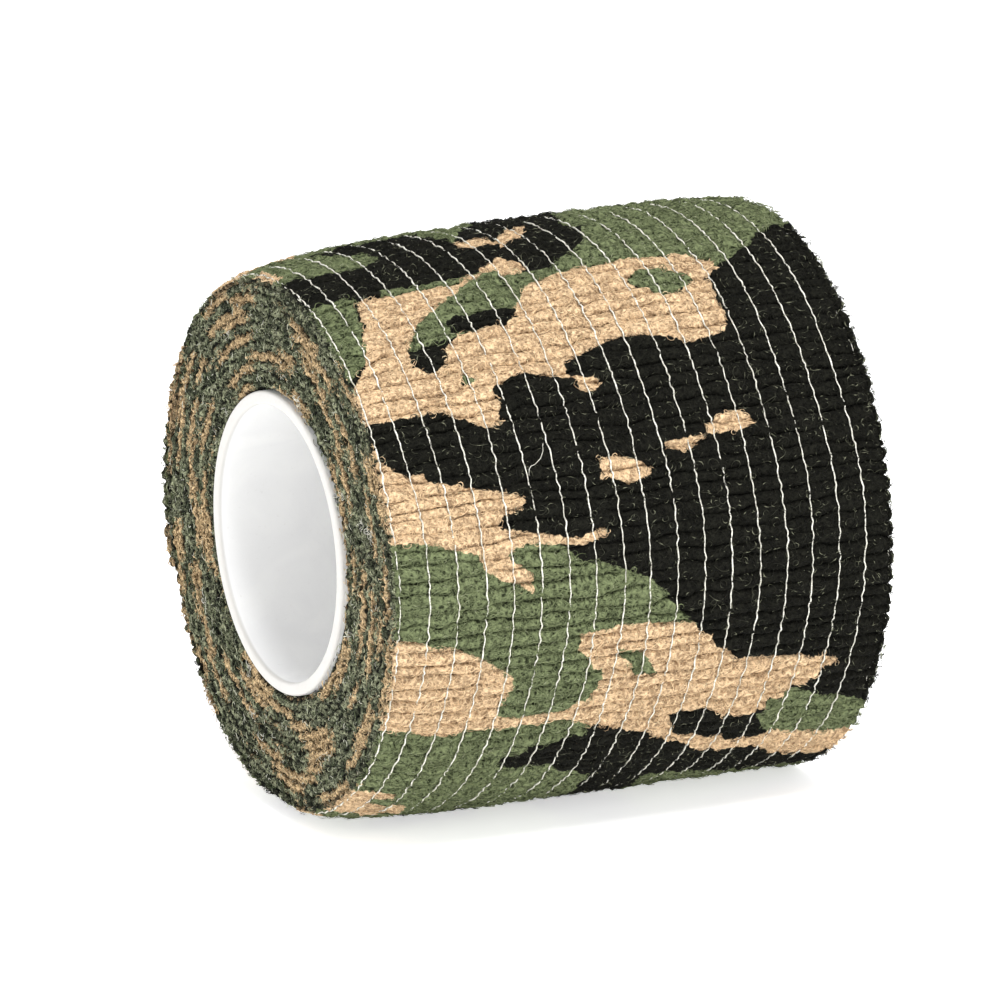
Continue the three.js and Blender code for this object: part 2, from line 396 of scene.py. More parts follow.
# -------- meshes
def new_object(name, points, faces, uvs, materials, face_materials=None, values=None):
    """A mesh object with its own bake layout and named values at its points."""
    mesh = bpy.data.meshes.new(name)
    mesh.from_pydata(points.tolist(), [], faces)
    for material in materials:
        mesh.materials.append(material)
    if face_materials is not None:
        mesh.polygons.foreach_set("material_index", np.asarray(face_materials, np.int32))
    mesh.polygons.foreach_set("use_smooth", np.ones(len(faces), bool))
    layer = mesh.uv_layers.new(name="OFBake")
    layer.data.foreach_set("uv", np.asarray(uvs, np.float32).ravel())
    for key, value in (values or {}).items():
        kind = "FLOAT_VECTOR" if value.ndim == 2 else "FLOAT"
        attribute = mesh.attributes.new(key, kind, "POINT")
        field = "vector" if value.ndim == 2 else "value"
        attribute.data.foreach_set(field, np.asarray(value, np.float32).ravel())
    mesh.update()
    obj = bpy.data.objects.new(name, mesh)
    bpy.context.scene.collection.objects.link(obj)
    return obj


def corner_uvs(u0, u1, v0, v1):
    """The four corners of each quad, from its low and high places in the bake layout."""
    sides = [np.stack([u, v], axis=-1) for u, v in ((u0, v0), (u0, v1), (u1, v1), (u1, v0))]
    return np.stack(sides, axis=-2)


def wrapped_quads(grid):
    """Quads between the points of a grid that closes on itself both ways."""
    across, onward = np.roll(grid, -1, axis=1), np.roll(grid, -1, axis=0)
    return np.stack([grid, across, np.roll(across, -1, axis=0), onward], axis=-1)


RIM_ROUNDING = 0.38


def strip_grid(first, last):
    """The face of a stretch of the strip between two creases, as columns along and rows across."""
    ribs = np.repeat(np.arange(first, last), COLUMNS_PER_RIB)
    shares = np.tile(even_cosine(COLUMNS_PER_RIB), last - first)
    ribs = np.append(ribs, last - 1)[:, None]
    shares = np.append(shares, 1.0)[:, None]
    lanes = np.repeat(np.arange(THREAD_COUNT + 1), ROWS_PER_LANE)
    lane_shares = np.tile(even_cosine(ROWS_PER_LANE), THREAD_COUNT + 1)
    lanes = np.append(lanes, THREAD_COUNT)
    lane_shares = np.append(lane_shares, 1.0)
    guess = CREASES[ribs] * (1 - shares) + CREASES[ribs + 1] * shares
    edges = np.stack([lane_edge(edge, guess[:, 0]) for edge in range(THREAD_COUNT + 2)], axis=1)
    across = edges[:, lanes] * (1 - lane_shares) + edges[:, lanes + 1] * lane_shares
    rim = np.clip(np.abs(across) - HALF_WIDTH + 1, 0, 1)
    across = across - np.sign(across) * rim * RIM_ROUNDING * (1 - ridge(shares))
    start = CREASES[ribs] + crease_shift(ribs, across)
    end = CREASES[ribs + 1] + crease_shift(ribs + 1, across)
    along = start * (1 - shares) + end * shares
    return ribs, shares, lane_shares, along, across


def face_height(ribs, shares, lane_shares, along, across):
    """The crinkled face's height above the bottom of its creases."""
    puff = 1 + RIB_PUFF * smooth_noise(across, ribs * 5.0, 2.3, 7)
    fill = blended_fill(ribs, shares, across)
    dome = pillow(shares, lane_shares)
    crest = ridge(shares)
    lumps = noises(along, across, FACE_LUMPS) * (0.3 + 0.7 * crest)
    return RIB_HEIGHT * (puff * dome + fill * (1 - crest) * CREASE_FILL_SHARE) + lumps


BACK_PILLOW = 0.3
WALL_BULGE = 0.2
WALL_TUFT = 0.20


def make_sector(name, first, last, two_sided):
    """A closed stretch of web: crinkled face, rough side walls and back, and two cut ends."""
    ribs, shares, lane_shares, along, across = strip_grid(first, last)
    angle = rolled(along)
    height = face_height(ribs, shares, lane_shares, along, across)
    face = face_radius(angle) - RIB_HEIGHT + height
    jitter = 0.22 * scramble(ribs, np.zeros_like(ribs), 10)
    tan, green = print_fields(along, across + jitter)

    back_rows = 2 if two_sided else 1
    step = ROWS_PER_LANE // back_rows
    picked = np.arange(0, across.shape[1], step)[::-1]
    back = face_radius(angle[:, picked]) - WEB_THICKNESS
    if two_sided:
        back = back + BACK_PILLOW * (1 - pillow(shares, lane_shares[picked]))

    def wall(top, bottom, side):
        """Rows that round the web's cut edge, from its face to its back."""
        share = (np.arange(WALL_ROWS) + 1) / (WALL_ROWS + 1)
        if side < 0:
            share = share[::-1]
        radius = face[:, top, None] * (1 - share) + back[:, bottom, None] * share
        y = across[:, top, None] + side * WALL_BULGE * np.sin(np.pi * share)
        tuft = WALL_TUFT * smooth_noise(along[:, top, None], share * 1.3, 0.42, 11 + side)
        return radius, along[:, top, None] + 0 * share, y + side * tuft

    far_wall = wall(-1, 0, 1)
    near_wall = wall(0, -1, -1)
    radius = np.concatenate([face, far_wall[0], back, near_wall[0]], axis=1)
    length = np.concatenate([along, far_wall[1], along[:, picked], near_wall[1]], axis=1)
    y = np.concatenate([across, far_wall[2], across[:, picked], near_wall[2]], axis=1)
    points = place(radius, rolled(length), y)
    columns, ring = radius.shape
    face_rows, back_count = across.shape[1], len(picked)

    def ringed(face_values):
        """One value for each point of the ring, from the values on the face."""
        walls = np.zeros((columns, WALL_ROWS))
        far, near = walls + face_values[:, -1:], walls + face_values[:, :1]
        return np.concatenate([face_values, far, face_values[:, picked], near], axis=1).ravel()

    values = {
        "print_tan": ringed(tan),
        "print_green": ringed(green),
        # dome: the face's height share; the web material uses it for painted light on the crests and
        # painted shade in the creases.
        "dome": ringed(height / RIB_HEIGHT),
        "strip": np.stack([length, y, radius - ROLL_RADIUS], axis=-1).reshape(-1, 3),
    }

    grid = np.arange(columns * ring).reshape(columns, ring)
    quads = wrapped_quads(grid)[:-1]
    rows_uv = np.concatenate([
        np.linspace(0, 0.86, face_rows), np.linspace(0.864, 0.894, WALL_ROWS),
        np.linspace(0.90, 0.965, back_count), np.linspace(0.969, 0.995, WALL_ROWS), [1.0]])
    columns_uv = np.linspace(0.012, 0.988, columns)
    u0, v0 = np.meshgrid(columns_uv[:-1], rows_uv[:-1], indexing="ij")
    u1, v1 = np.meshgrid(columns_uv[1:], rows_uv[1:], indexing="ij")
    on_wall = np.ones(ring, bool)
    on_wall[:face_rows - 1] = False
    on_wall[face_rows + WALL_ROWS:face_rows + WALL_ROWS + back_count - 1] = False
    face_materials = np.broadcast_to(on_wall, (columns - 1, ring)).astype(np.int32).ravel().tolist()

    faces = quads.reshape(-1, 4).tolist()
    uvs = corner_uvs(u0, u1, v0, v1).reshape(-1, 2).tolist()
    back_start = face_rows + WALL_ROWS
    for column, low_uv, high_uv in ((0, 0.0, 0.01), (columns - 1, 0.99, 1.0)):
        for lane in range(THREAD_COUNT + 1):
            outer = list(range(lane * ROWS_PER_LANE, (lane + 1) * ROWS_PER_LANE + 1))
            top_back = (THREAD_COUNT - lane) * back_rows
            inner = list(range(back_start + top_back, back_start + top_back + back_rows + 1))
            if lane == THREAD_COUNT:
                outer = outer + list(range(face_rows, back_start))
            if lane == 0:
                inner = inner + list(range(ring - WALL_ROWS, ring))
            loop = outer + inner
            if column == 0:
                loop = loop[::-1]
            faces.append([int(grid[column, row]) for row in loop])
            for row in loop:
                u = low_uv if row < face_rows else high_uv
                uvs.append([u, 0.86 * min(row, ring - row) / ring])
            face_materials.append(1)
    materials = [web_material, edge_material]
    return new_object(name, points.reshape(-1, 3), faces, uvs, materials, face_materials, values)


# -------- the fuzzy edges of the turns
def strip_length(angle):
    """Millimetres along the spiral, from the +X side of the outermost turn."""
    return (face_radius(angle) + face_radius(0)) / 2 * np.radians(angle) - 0.5 * np.radians(angle)


def triangle_wave(phase):
    """Straight lines from 1 down to -1 and up again, once for each whole phase."""
    return 4 * np.abs(np.mod(phase, 1) - 0.5) - 1


def edge_surface(angle, radius):
    """An end face's height, its turn's rounded profile, and the place along the strip."""
    ribs_round = round(2 * np.pi * UNROLL_RADIUS / RIB_PITCH)
    x, z = radius * np.cos(np.radians(angle)), radius * np.sin(np.radians(angle))
    phase = angle * ribs_round / 360 + 1.1 * smooth_noise(x, z, 2.4, 20)
    bent = radius + 0.20 * triangle_wave(phase) + 0.22 * smooth_noise(x, z, 1.1, 21)
    turned = np.mod(angle - FIRST_ANGLE, 360)
    layer_place = (bent - WEB_START_RADIUS) / TURN_PITCH - turned / 360
    layer = np.floor(layer_place)
    within = layer_place - layer
    profile = 1 - np.abs(2 * within - 1) ** 2.2
    along = strip_length(FIRST_ANGLE + turned + 360 * layer)
    height = 0.42 * profile * (0.72 + 0.5 * smooth_noise(along, layer * 3.0, 0.8, 22))
    return height + noises(x, z, EDGE_LUMPS), profile, along


EDGE_START = SECTOR_ANGLES[0] + 360
EDGE_INSET = 0.34
EDGE_PRINT_ROW = HALF_WIDTH - 0.8
EDGE_BACK = HALF_WIDTH - 1.5
EDGE_OVERLAP = 0.12
FACES_DIFFER_BY = 7.0


def make_edges(name, side):
    """One end face of the wound strip: the turns' cut edges, side by side."""
    columns = 708
    rows = 112
    column = np.arange(columns)[:, None]
    angle = EDGE_START + 360 * column / columns
    border = face_radius(angle - 360) - WEB_THICKNESS + EDGE_OVERLAP
    inner = WEB_START_RADIUS - EDGE_OVERLAP
    radius = inner + (border - inner) * np.linspace(0, 1, rows)
    height, profile, along = edge_surface(angle + side * FACES_DIFFER_BY, radius)
    rim = np.clip((radius - inner) / 0.5, 0, 1) ** 0.5
    front = HALF_WIDTH - EDGE_INSET + height * rim - 0.25 * (1 - rim)
    tan, _ = print_fields(along, np.array(side * EDGE_PRINT_ROW))
    hidden = EDGE_BACK + 0 * border
    radius = np.concatenate([radius, border, inner + 0 * border], axis=1)
    out = np.concatenate([front, hidden, hidden], axis=1)
    points = place(radius, angle, side * out).reshape(-1, 3)
    ring = rows + 2

    def ringed(front_values):
        """One value for each point of the ring, from the values on the end face."""
        ends = [front_values[:, -1:], front_values[:, :1]]
        return np.concatenate([front_values, *ends], axis=1).ravel()

    # dome: each turn's rounded profile, low between the turns and next to the core; the edge material
    # paints shade where it is low.
    values = {"print_tan": ringed(tan), "dome": ringed(profile * rim), "strip": points / MM}
    quads = wrapped_quads(np.arange(columns * ring).reshape(columns, ring))
    if side > 0:
        quads = quads[..., ::-1]
    flat = 0.48 + 0.47 * np.stack([points[:, 0], points[:, 2] - AXIS_Z * MM], axis=-1) / (28 * MM)
    uvs = flat[quads.ravel()].reshape(columns, ring, 4, 2)
    uvs[:, rows - 1:, :, 0] = 0.97 + 0.01 * (np.arange(3)[None, :, None])
    uvs[:, rows - 1:, :, 1] = (column / columns)[:, None]
    faces = quads.reshape(-1, 4).tolist()
    return new_object(name, points, faces, uvs.reshape(-1, 2), [edge_material], None, values)


# -------- yarns and loose fibres
def make_tubes(name, paths, normals, radii, sides, material, values):
    """Closed tubes along several paths. Paths and normals are indexed (tube, point, 3)."""
    count, steps = paths.shape[:2]
    tangents = np.gradient(paths, axis=1)
    tangents /= np.linalg.norm(tangents, axis=-1, keepdims=True) + 1e-12
    beside = np.cross(tangents, normals)
    beside /= np.linalg.norm(beside, axis=-1, keepdims=True) + 1e-12
    above = np.cross(beside, tangents)
    turn = 2 * np.pi * np.arange(sides) / sides
    radii = np.broadcast_to(radii, (count, steps))[..., None, None]
    rim = beside[:, :, None] * np.cos(turn)[:, None] + above[:, :, None] * np.sin(turn)[:, None]
    points = paths[:, :, None] + rim * radii
    index = np.arange(count * steps * sides).reshape(count, steps, sides)
    side_on = np.roll(index, -1, axis=2)
    quads = np.stack([index[:, :-1], side_on[:, :-1], side_on[:, 1:], index[:, 1:]], axis=-1)
    faces = quads.reshape(-1, 4).tolist()
    faces += index[:, 0, ::-1].tolist() + index[:, -1].tolist()

    cells = math.ceil(math.sqrt(count))
    cell = np.arange(count)
    origin = np.stack([cell % cells, cell // cells], axis=-1)[:, None, None, None] / cells
    step_share = np.arange(steps - 1) / (steps - 1)
    u0 = np.broadcast_to(0.1 + 0.8 * step_share[None, :, None], (count, steps - 1, sides))
    u1 = u0 + 0.8 / (steps - 1)
    v0 = np.broadcast_to(0.1 + 0.8 * np.arange(sides) / sides, (count, steps - 1, sides))
    v1 = v0 + 0.8 / sides
    uvs = (origin + corner_uvs(u0, u1, v0, v1) / cells).reshape(-1, 2).tolist()
    cap = 0.5 + 0.5 * np.stack([np.cos(turn), np.sin(turn)], axis=-1)
    for low, span in ((0.02, 0.05), (0.93, 0.05)):
        uvs += (origin[:, 0, 0] + (low + span * cap) / cells).reshape(-1, 2).tolist()
    spread = {}
    for key, value in values.items():
        value = np.broadcast_to(value[:, :, None], (count, steps, sides) + value.shape[2:])
        spread[key] = value.reshape((count * steps * sides,) + value.shape[3:])
    return new_object(name, points.reshape(-1, 3), faces, uvs, [material], None, spread)


YARN_SHARES = np.array([0.03, 0.12, 0.32, 0.5, 0.68, 0.88])
YARN_LAST_SHARE = 0.97
YARN_SWAY = 0.11
YARN_SUNK = {0: -0.06, THREAD_COUNT - 1: 0.30}


def make_yarn(name, index, first, last):
    """One elastic thread along its row, sunk a little at every crease."""
    ribs = np.append(np.repeat(np.arange(first, last), len(YARN_SHARES)), last - 1)
    shares = np.append(np.tile(YARN_SHARES, last - first), YARN_LAST_SHARE)
    row = np.full_like(ribs, index)
    guess = CREASES[ribs] * (1 - shares) + CREASES[ribs + 1] * shares
    across = thread_row(index, guess)
    start, end = crease_shift(ribs, across), crease_shift(ribs + 1, across)
    along = guess + start * (1 - shares) + end * shares
    sway = YARN_SWAY * scramble(ribs, row, 30) * np.sin(2 * np.pi * shares)
    taut = ridge(shares)
    height = (1 - LANE_PINCH) * (0.42 + 0.60 * taut)
    height = RIB_HEIGHT * (height + 0.4 * blended_fill(ribs, shares, across) * (1 - taut))
    height = height + 0.05 * smooth_noise(along, index * 5.0, 1.3, 32)
    height = height + 0.10 - YARN_SUNK.get(index, 0.0)
    angle = rolled(along)
    radius = face_radius(angle) - RIB_HEIGHT + height
    path = place(radius, angle, across + sway)[None]
    wide = YARN_RADIUS * MM * (0.95 + 0.22 * scramble(ribs, row, 31) + 0.15 * taut)
    # dip: 1 along a rib's crest and 0 at its creases; the yarn material paints shade where it is low.
    values = {"strip": np.stack([along, across, height], axis=-1)[None], "dip": taut[None]}
    return make_tubes(name, path, outward(angle)[None], wide[None], 5, yarn_material, values)


FIBRE_RADIUS = 0.031
FIBRE_OVERHANG = 0.3
RIM_SHARE = 0.10
RIM_FIBRE_SIZE = 0.26
STANDING_SHARE = 0.03
STANDING_LIFT, LYING_LIFT = 0.24, 0.09
GLINT_WIDTH = 0.10


def one_each(low, high, count):
    """One random number for each of count curls."""
    return rng.uniform(low, high, (count, 1))


def curl_paths(count, steps, low_length, high_length, spread):
    """Random curls in a plane, as (curl, point) offsets along and across. Most set out across."""
    length = one_each(low_length, high_length, count)
    heading = np.pi * (rng.integers(0, 2, (count, 1)) + 0.5)
    heading = heading + spread * rng.standard_normal((count, 1))
    bend = one_each(-4.5, 4.5, count) * length
    share = np.linspace(0, 1, steps)[None]
    direction = heading + bend * (share - 0.5)
    step = length / (steps - 1)
    x = np.cumsum(np.cos(direction), axis=1) * step
    y = np.cumsum(np.sin(direction), axis=1) * step
    return x, y, share


def make_face_fuzz(name, count, first_angle, last_angle):
    """Crimped fibres that lie on the web's face, a few of them standing off it."""
    x, y, share = curl_paths(count, 7, 0.7, 1.9, 0.6)
    along = one_each(unrolled(first_angle), unrolled(last_angle), count)
    across = one_each(-HALF_WIDTH, HALF_WIDTH, count)
    at_rim = one_each(0, 1, count) < RIM_SHARE
    across = np.where(at_rim, np.sign(across) * (HALF_WIDTH - np.abs(across) * 0.02), across)
    size = np.where(at_rim, RIM_FIBRE_SIZE, 1.0)
    length, width = along + x * size, across + y * size
    over = np.maximum(np.abs(width) - HALF_WIDTH - FIBRE_OVERHANG, 0)
    width = width - 2 * over * np.sign(width)
    ends = [0, x.shape[1] - 1]
    tan, green = print_fields(length[:, ends], width[:, ends])
    tan = tan[:, :1] * (1 - share) + tan[:, 1:] * share
    green = green[:, :1] * (1 - share) + green[:, 1:] * share
    stands = one_each(0, 1, count) < STANDING_SHARE
    lift = np.where(stands, STANDING_LIFT, LYING_LIFT)
    lift = lift * np.sin(np.pi * share * one_each(0.5, 1.0, count))
    angle = rolled(length)
    limit = HALF_WIDTH - ROW_MARGIN
    height = face_at(length, np.clip(width, -limit, limit))
    radius = face_radius(angle) - RIB_HEIGHT + height + lift + one_each(-0.01, 0.04, count)
    path = place(radius, angle, width)
    # glint: a painted highlight, a short bump along each fibre that raises its tint, which the fibre
    # material turns paler.
    glint = np.exp(-((share - one_each(0, 1, count)) / GLINT_WIDTH) ** 2)
    tint = 0.72 * one_each(0, 1, count) + glint * one_each(0.0, 0.9, count)
    thick = FIBRE_RADIUS * MM * one_each(0.7, 1.25, count)
    values = {
        "print_tan": tan, "print_green": green,
        "tint": tint, "strip": np.stack([length, width, lift], axis=-1)}
    return make_tubes(name, path, outward(angle), thick, 3, fibre_material, values)


def make_edge_fuzz(name, side, count):
    """Short fibres that stand off an end face."""
    x, y, share = curl_paths(count, 5, 0.35, 1.0, 3.0)
    lift = one_each(0.03, 0.18, count) * np.sin(np.pi * share * one_each(0.5, 1.0, count))
    angle = one_each(EDGE_START, EDGE_START + 360, count)
    outer = face_radius(angle - 360) - 0.1
    radius = np.sqrt(rng.uniform(WEB_START_RADIUS ** 2, outer ** 2))
    height, _, root = edge_surface(angle + side * FACES_DIFFER_BY, radius)
    tan, _ = print_fields(root, np.array(side * EDGE_PRINT_ROW))
    turned = angle + np.degrees(x / radius)
    reach = np.clip(radius + y, WEB_START_RADIUS - 0.1, outer + 0.2)
    out = side * (HALF_WIDTH - 0.40 + height + lift)
    path = place(reach, turned, out)
    normal = np.zeros(path.shape)
    normal[..., 1] = side
    tint = np.broadcast_to(one_each(0, 1, count), x.shape)
    values = {"print_tan": np.broadcast_to(tan, x.shape), "tint": tint, "strip": path / MM}
    return make_tubes(name, path, normal, FIBRE_RADIUS * MM, 3, edge_fibre_material, values)


STRAY_ROOT = (11.5, -11.0)
STRAY_TIP = (14.5, -8.8)
STRAY_RADIUS = 0.034


def make_stray(name):
    """One elastic filament that has worked loose and lies slantwise over the black print."""
    share = np.linspace(0, 1, 9)
    length, width = (low + (high - low) * share for low, high in zip(STRAY_ROOT, STRAY_TIP))
    length = length + 0.22 * np.sin(3.6 * np.pi * share)
    width = width - 0.30 * np.sin(2.3 * np.pi * share)
    lift = 0.12 + 0.22 * np.sin(np.pi * share)
    angle = rolled(length)
    radius = face_radius(angle) - RIB_HEIGHT + face_at(length, width) + lift
    path = place(radius, angle, width)[None]
    strip = np.stack([length, width, lift], axis=-1)[None]
    values = {"strip": strip, "dip": 0.45 + 0 * share[None]}
    return make_tubes(name, path, outward(angle)[None], STRAY_RADIUS * MM, 5, yarn_material, values)


CLUMP_COUNT = 16
CLUMP_CURLS = 9
CLUMP_RADIUS = 0.030


def make_clumps(name):
    """Small knots of white filaments on the near end face, where threads were cut."""
    turned = rng.uniform(EDGE_START, EDGE_START + 360, CLUMP_COUNT)
    reach = rng.uniform(WEB_START_RADIUS + 1, ROLL_RADIUS - 4.0, CLUMP_COUNT)
    knots = np.repeat(np.arange(CLUMP_COUNT), CLUMP_CURLS)
    x, y, share = curl_paths(len(knots), 6, 0.5, 1.1, 3.0)
    angle = turned[knots][:, None] + rng.normal(0, 0.35, (len(knots), 1))
    radius = reach[knots][:, None] + rng.normal(0, 0.12, (len(knots), 1))
    height = edge_surface(angle - FACES_DIFFER_BY, radius)[0]
    lift = one_each(0.05, 0.35, len(knots)) * np.sin(np.pi * share * 0.8)
    out = HALF_WIDTH - 0.36 + height + lift
    path = place(radius + y, angle + np.degrees(x / radius), -out)
    normal = np.zeros(path.shape)
    normal[..., 1] = -1
    values = {"strip": path / MM, "dip": 0.75 + 0 * x}
    return make_tubes(name, path, normal, CLUMP_RADIUS * MM, 3, yarn_material, values)


# -------- the core
def make_core():
    """The moulded tube, turned from a profile with rounded lips."""
    around = 192
    lip = CORE_LIP
    corners = [
        (CORE_RADIUS - CORE_WALL, -CORE_END, 1, 1), (CORE_RADIUS, -CORE_END, -1, 1),
        (CORE_RADIUS, CORE_END, -1, -1), (CORE_RADIUS - CORE_WALL, CORE_END, 1, -1)]
    profile = []
    for number, (radius, y, inward, onward) in enumerate(corners):
        middle = (radius + inward * lip, y + onward * lip)
        start = [180, 270, 0, 90][number]
        for step in range(5):
            turn = math.radians(start + 22.5 * step)
            profile.append((middle[0] + lip * math.cos(turn), middle[1] + lip * math.sin(turn)))
        if number in (1, 3):
            far = corners[(number + 1) % 4]
            for step in range(1, 24):
                share = step / 24
                profile.append((radius, y * (1 - share) + far[1] * share))
    profile = np.array(profile)
    ring = len(profile)
    angle = 360 * np.arange(around)[:, None] / around
    theta = np.radians(angle)
    radius = profile[None, :, 0] + 0.02 * smooth_noise(angle / 6, profile[None, :, 1], 4, 40)
    x, z = radius * np.cos(theta), AXIS_Z + radius * np.sin(theta)
    points = np.stack([x, np.broadcast_to(profile[None, :, 1], x.shape), z], axis=-1) * MM
    quads = wrapped_quads(np.arange(around * ring).reshape(around, ring))
    length = np.linalg.norm(np.roll(profile, -1, axis=0) - profile, axis=1)
    rows = np.append(0, np.cumsum(length)) / length.sum()
    u0, v0 = np.meshgrid(np.arange(around) / around, rows[:-1], indexing="ij")
    u1, v1 = np.meshgrid((np.arange(around) + 1) / around, rows[1:], indexing="ij")
    points = points.reshape(-1, 3)
    faces, uvs = quads.reshape(-1, 4).tolist(), corner_uvs(u0, u1, v0, v1).reshape(-1, 2)
    values = {"strip": points / MM, "end_reach": points[:, 1] / MM}
    return new_object("core_sleeve", points, faces, uvs, [core_material], None, values)


# -------- materials
def linear(red, green, blue):
    """A colour in 0-255 screen values, as the shader's linear colour."""
    values = []
    for channel in (red, green, blue):
        share = channel / 255
        values.append(share / 12.92 if share <= 0.04045 else ((share + 0.055) / 1.055) ** 2.4)
    return (*values, 1.0)


class Nodes:
    """Short names for the few node kinds that the materials use."""

    def __init__(self, name):
        self.material = bpy.data.materials.new(name)
        self.material.use_nodes = True
        self.tree = self.material.node_tree
        self.shader = self.tree.nodes["Principled BSDF"]

    def new(self, kind, settings=None, **inputs):
        node = self.tree.nodes.new(kind)
        for key, value in (settings or {}).items():
            setattr(node, key, value)
        for key, value in inputs.items():
            self.set(node.inputs[key.replace("_", " ")], value)
        return node

    def set(self, socket, value):
        """Link a socket to another, or give it a plain value."""
        if isinstance(value, bpy.types.NodeSocket):
            self.tree.links.new(value, socket)
        else:
            socket.default_value = value

    def value(self, name):
        return self.new("ShaderNodeAttribute", {"attribute_name": name}).outputs["Fac"]

    def vector(self, name):
        return self.new("ShaderNodeAttribute", {"attribute_name": name}).outputs["Vector"]

    def math(self, operation, first, second=0.0):
        node = self.new("ShaderNodeMath", {"operation": operation})
        self.set(node.inputs[0], first)
        self.set(node.inputs[1], second)
        return node.outputs[0]

    def plus(self, first, second):
        return self.math("ADD", first, second)

    def times(self, first, second):
        return self.math("MULTIPLY", first, second)

    def noise(self, coordinates, scale, detail=2.0, distortion=0.0):
        """Smooth noise from 0 to 1, its scale in lumps to the millimetre."""
        return self.new("ShaderNodeTexNoise", Vector=coordinates, Scale=scale, Detail=detail,
                        Distortion=distortion).outputs["Fac"]

    def ramp(self, value, low, high, start=0.0, end=1.0):
        """Smoothly from start to end as value goes from low to high."""
        node = self.new("ShaderNodeMapRange", {"interpolation_type": "SMOOTHSTEP"}, Value=value)
        limits = {"From Min": low, "From Max": high, "To Min": start, "To Max": end}
        for key, number in limits.items():
            node.inputs[key].default_value = number
        return node.outputs["Result"]

    def mix(self, share, first, second):
        node = self.new("ShaderNodeMix", {"data_type": "RGBA"})
        self.set(node.inputs["Factor"], share)
        self.set(node.inputs[6], first)
        self.set(node.inputs[7], second)
        return node.outputs[2]

    def curls(self, coordinates, scale, turns, distortion):
        """Thin bright lines that wind about like crimped fibres: 1 on a line, 0 between them."""
        field = self.noise(coordinates, scale, 1.5, distortion)
        folded = self.math("PINGPONG", self.times(field, turns), 0.5)
        return self.ramp(folded, 0.0, 0.19, 1.0, 0.0)

    def loops(self, coordinates, scale, bend):
        """Small loops of crimped fibre: 1 on a loop's line, 0 in its middle."""
        sway = self.new("ShaderNodeTexNoise", Vector=coordinates, Scale=scale * 0.8, Detail=2.0)
        shifted = self.new("ShaderNodeVectorMath", {"operation": "MULTIPLY_ADD"})
        self.set(shifted.inputs[0], sway.outputs["Color"])
        shifted.inputs[1].default_value = (bend, bend, bend)
        self.set(shifted.inputs[2], coordinates)
        cells = self.new("ShaderNodeTexVoronoi", {"feature": "DISTANCE_TO_EDGE"}, Scale=scale)
        self.set(cells.inputs["Vector"], shifted.outputs[0])
        return self.ramp(cells.outputs["Distance"], 0.02, 0.26, 1.0, 0.0)

    def bump(self, height, strength=1.0):
        """Relief from a height in millimetres."""
        node = self.new("ShaderNodeBump", Height=height, Strength=strength, Distance=MM)
        self.tree.links.new(node.outputs["Normal"], self.shader.inputs["Normal"])

    def finish(self, color, roughness, **plain):
        """Feed the shader. Values in plain go straight into its own sockets."""
        self.set(self.shader.inputs["Base Color"], color)
        self.set(self.shader.inputs["Roughness"], roughness)
        for key, value in plain.items():
            self.shader.inputs[key.replace("_", " ")].default_value = value
        return self.material


TAN_TONES = (linear(98, 70, 44), linear(227, 197, 158))
GREEN_TONES = (linear(4, 9, 3), linear(112, 121, 87))
BLACK_TONES = (linear(1, 1, 1), linear(29, 29, 24))
CUT_TAN_TONES = (linear(106, 82, 50), linear(240, 212, 166))
PRINT_BLUR = 0.05


def printed(nodes, coordinates, fibre, ragged):
    """The three print colours, each from its dark tone to its light one as fibre goes 0 to 1."""
    wobble = nodes.times(nodes.math("SUBTRACT", nodes.noise(coordinates, 1.9, 4.0), 0.5), ragged)
    tan, green = (
        nodes.ramp(nodes.plus(nodes.value(name), wobble), -PRINT_BLUR, PRINT_BLUR)
        for name in ("print_tan", "print_green"))
    color = nodes.mix(fibre, *BLACK_TONES)
    color = nodes.mix(green, color, nodes.mix(nodes.ramp(fibre, 0.05, 0.90), *GREEN_TONES))
    return nodes.mix(tan, color, nodes.mix(fibre, *TAN_TONES))


def make_web_material():
    """Crimped nonwoven, printed: strands that wind along the ribs, and darker pits between them. The
    ribs also carry painted light on their crests and painted shade in their creases.
    """
    nodes = Nodes("printed_nonwoven")
    strip = nodes.vector("strip")
    lengthened = nodes.new("ShaderNodeVectorMath", {"operation": "MULTIPLY"})
    nodes.set(lengthened.inputs[0], strip)
    lengthened.inputs[1].default_value = (1.0, 0.55, 1.0)
    strands = nodes.curls(lengthened.outputs[0], 1.3, 4.2, 1.1)
    loops = nodes.loops(strip, 1.5, 1.3)
    grain = nodes.noise(strip, 2.7, 3.0)
    # Painted light and shade: the dome share lifts the print's tone on the rib crests and lowers it in
    # the creases.
    dome = nodes.ramp(nodes.value("dome"), 0.0, 0.7)
    lines = nodes.math("MAXIMUM", nodes.times(loops, 0.8), strands)
    fibre = nodes.plus(nodes.times(lines, 0.40), nodes.ramp(grain, 0.38, 0.60, 0.0, 0.40))
    fibre = nodes.plus(fibre, nodes.times(dome, 0.22))
    color = printed(nodes, strip, fibre, 0.75)
    nodes.bump(nodes.plus(nodes.times(lines, 0.14), nodes.times(grain, 0.30)))
    roughness = nodes.ramp(grain, 0.3, 0.7, 0.86, 0.98)
    return nodes.finish(color, roughness, Specular_IOR_Level=0.06)


